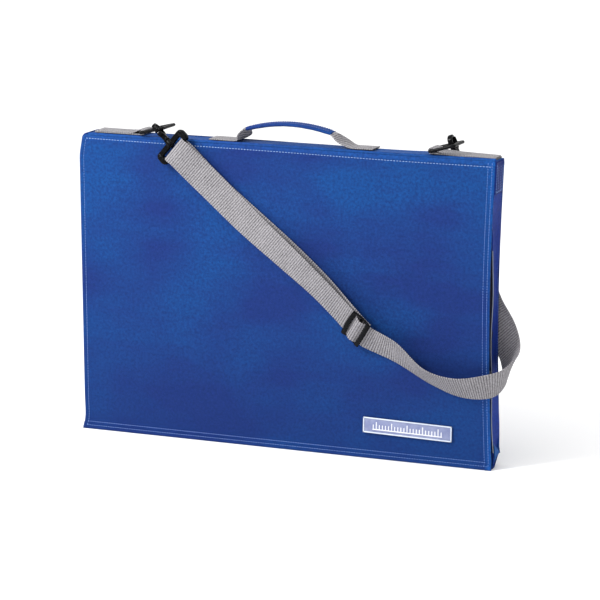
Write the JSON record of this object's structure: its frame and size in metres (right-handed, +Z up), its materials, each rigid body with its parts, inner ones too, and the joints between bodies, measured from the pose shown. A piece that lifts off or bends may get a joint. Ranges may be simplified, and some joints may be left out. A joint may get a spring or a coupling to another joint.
{
  "type": "portfolio case",
  "caption": "Flat upright fabric portfolio case with a top carry handle, a side zip and an adjustable shoulder strap clipped to top rings.",
  "frame": {"origin": "middle of the underside, on the surface the case stands on", "axes": "+X along the case towards the zipped side, +Y from the front panel to the back panel, +Z up"},
  "size_m": [0.557, 0.0817, 0.3955],
  "materials": {
    "nylon": "satin",
    "nylon_light": "satin",
    "webbing": "matte",
    "zip_tape": "matte",
    "board": "matte",
    "zip_teeth": "satin",
    "hardware": "gloss",
    "zip_metal": "satin",
    "badge": "satin"
  },
  "bodies": {
    "case": {"front_panel": "nylon", "back_panel": "nylon", "bottom_gusset": "nylon", "left_gusset": "nylon", "right_gusset": "nylon", "top_gusset": "nylon_light", "side_patch": "nylon_light", "front_stiffener": "board", "back_stiffener": "board", "zip_tape_front": "zip_tape", "zip_tape_back": "zip_tape", "zip_teeth_front": "zip_teeth", "zip_teeth_back": "zip_teeth", "zip_bottom_stop": "zip_metal", "zip_top_stop_front": "zip_metal", "zip_top_stop_back": "zip_metal", "badge": "badge", "left_ring_tab": "webbing", "right_ring_tab": "webbing", "handle_leg_left": "webbing", "handle_leg_right": "webbing", "left_handle_anchor": "webbing", "right_handle_anchor": "webbing", "strap_bend_left": "webbing", "strap_bend_right": "webbing", "strap_outer_run": "webbing", "strap_inner_run": "webbing", "strap_front_run": "webbing", "strap_side_loop": "webbing", "strap_back_run": "webbing", "strap_sewn_end": "webbing", "strap_glide_wrap": "webbing", "left_strap_frame": "hardware", "right_strap_frame": "hardware", "tri_glide": "hardware"},
    "handle": {"handle_grip": "nylon_light", "handle_core": "webbing"},
    "zip_slider": {"zip_slider": "zip_metal"},
    "zip_pull": {"zip_pull": "zip_metal"},
    "left_ring": {"left_ring": "hardware"},
    "right_ring": {"right_ring": "hardware"},
    "left_hook": {"left_hook": "hardware"},
    "right_hook": {"right_hook": "hardware"},
    "left_gate": {"left_gate": "hardware"},
    "right_gate": {"right_gate": "hardware"}
  },
  "joints": [
    {"name": "handle_swing", "type": "hinge", "parent": "case", "child": "handle", "pos_m": [0.003, 0, 0.372], "axis": [1, 0, 0], "range_deg": [-45, 45]},
    {"name": "zip_travel", "type": "slide", "parent": "case", "child": "zip_slider", "axis": [0, 0, 1], "range_m": [-0.09, 0.16]},
    {"name": "zip_pull_swing", "type": "hinge", "parent": "zip_slider", "child": "zip_pull", "pos_m": [0.261, -0.0128, 0.1125], "axis": [0, -1, 0], "range_deg": [0, 20]},
    {"name": "left_ring_swing", "type": "hinge", "parent": "case", "child": "left_ring", "pos_m": [-0.187, 0, 0.3739], "axis": [0, -1, 0], "range_deg": [-1.5, 0.6]},
    {"name": "right_ring_swing", "type": "hinge", "parent": "case", "child": "right_ring", "pos_m": [0.184, 0, 0.3739], "axis": [0, -1, 0], "range_deg": [-1, 4]},
    {"name": "left_hook_swivel", "type": "hinge", "parent": "case", "child": "left_hook", "pos_m": [-0.1395, -0.0248, 0.3606], "axis": [-0.7469, 0.1892, 0.6374], "range_deg": [-5, 1]},
    {"name": "left_gate_swing", "type": "hinge", "parent": "left_hook", "child": "left_gate", "pos_m": [-0.15869, -0.02659, 0.37881], "axis": [-0.6648, -0.1984, -0.7202], "range_deg": [0, 20], "stiffness_Nm_per_rad": 0.012},
    {"name": "right_hook_swivel", "type": "hinge", "parent": "case", "child": "right_hook", "pos_m": [0.209, 0.0282, 0.3535], "axis": [-0.3301, -0.2501, 0.9102], "range_deg": [-2, 2]},
    {"name": "right_gate_swing", "type": "hinge", "parent": "right_hook", "child": "right_gate", "pos_m": [0.19996, 0.02848, 0.37842], "axis": [0.9401, 0, 0.3409], "range_deg": [0, 20], "stiffness_Nm_per_rad": 0.012}
  ]
}
